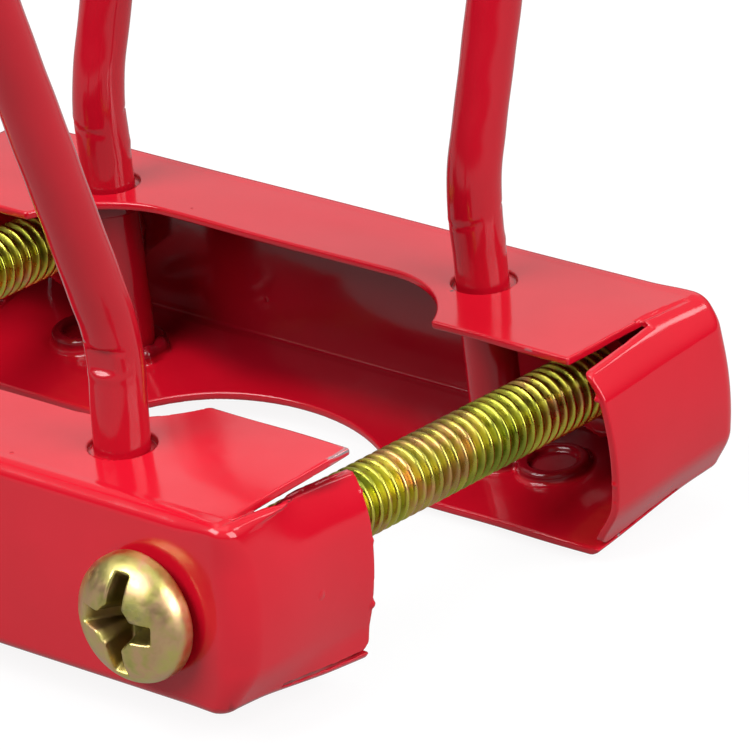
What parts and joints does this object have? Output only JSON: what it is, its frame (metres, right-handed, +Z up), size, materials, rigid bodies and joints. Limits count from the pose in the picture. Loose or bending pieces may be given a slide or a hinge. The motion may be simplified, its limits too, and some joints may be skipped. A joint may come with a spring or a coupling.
{
  "type": "frame grip",
  "caption": "Spring frame grip: folded sheet jaws tied by long round-head screws, with leaning rod handles that are squeezed to open the gripping edges.",
  "frame": {"origin": "middle of the gap between the jaws, level with the underside of the jaws at their webs", "axes": "+X along the jaws, +Y from the front jaw (screw heads) to the back jaw (weld nuts), +Z up towards the handles"},
  "size_m": [0.1063, 0.1066, 0.1102],
  "materials": {
    "red_powder_coat": "gloss red powder coat with a slight orange peel",
    "yellow_zinc": "yellow passivated zinc with faint rainbow tints",
    "bright_zinc": "bright zinc plated spring wire"
  },
  "bodies": {
    "back_grip": {"back_jaw": "red_powder_coat", "back_handle": "red_powder_coat", "back_spring_bar": "red_powder_coat", "weld_nut_right": "red_powder_coat", "weld_nut_left": "red_powder_coat"},
    "spring": {"handle_spring": "bright_zinc"},
    "front_grip": {"front_jaw": "red_powder_coat", "front_handle": "red_powder_coat", "front_spring_bar": "red_powder_coat"},
    "tie_screw_right": {"tie_screw_right": "yellow_zinc"},
    "tie_screw_left": {"tie_screw_left": "yellow_zinc"}
  },
  "joints": [
    {"name": "gap_adjust", "type": "slide", "parent": "back_grip", "child": "spring", "axis": [0, 1, 0], "range_m": [0, 0.012]},
    {"name": "front_rock", "type": "hinge", "parent": "spring", "child": "front_grip", "pos_m": [0, -0.0395, 0.0096], "axis": [-1, 0, 0], "range_deg": [0, 5], "deforming": ["handle_spring"]},
    {"name": "screw_right_turn", "type": "hinge", "parent": "spring", "child": "tie_screw_right", "pos_m": [0.0402, -0.0408, 0.0096], "axis": [0, 1, 0], "range_deg": [0, 3070]},
    {"name": "screw_left_turn", "type": "hinge", "parent": "spring", "child": "tie_screw_left", "pos_m": [-0.0402, -0.0408, 0.0096], "axis": [0, 1, 0], "range_deg": [0, 3070]}
  ],
  "couplings": [
    {"joint": "screw_right_turn", "follows": "gap_adjust", "rad_per_m": 4453},
    {"joint": "screw_left_turn", "follows": "gap_adjust", "rad_per_m": 4453}
  ]
}
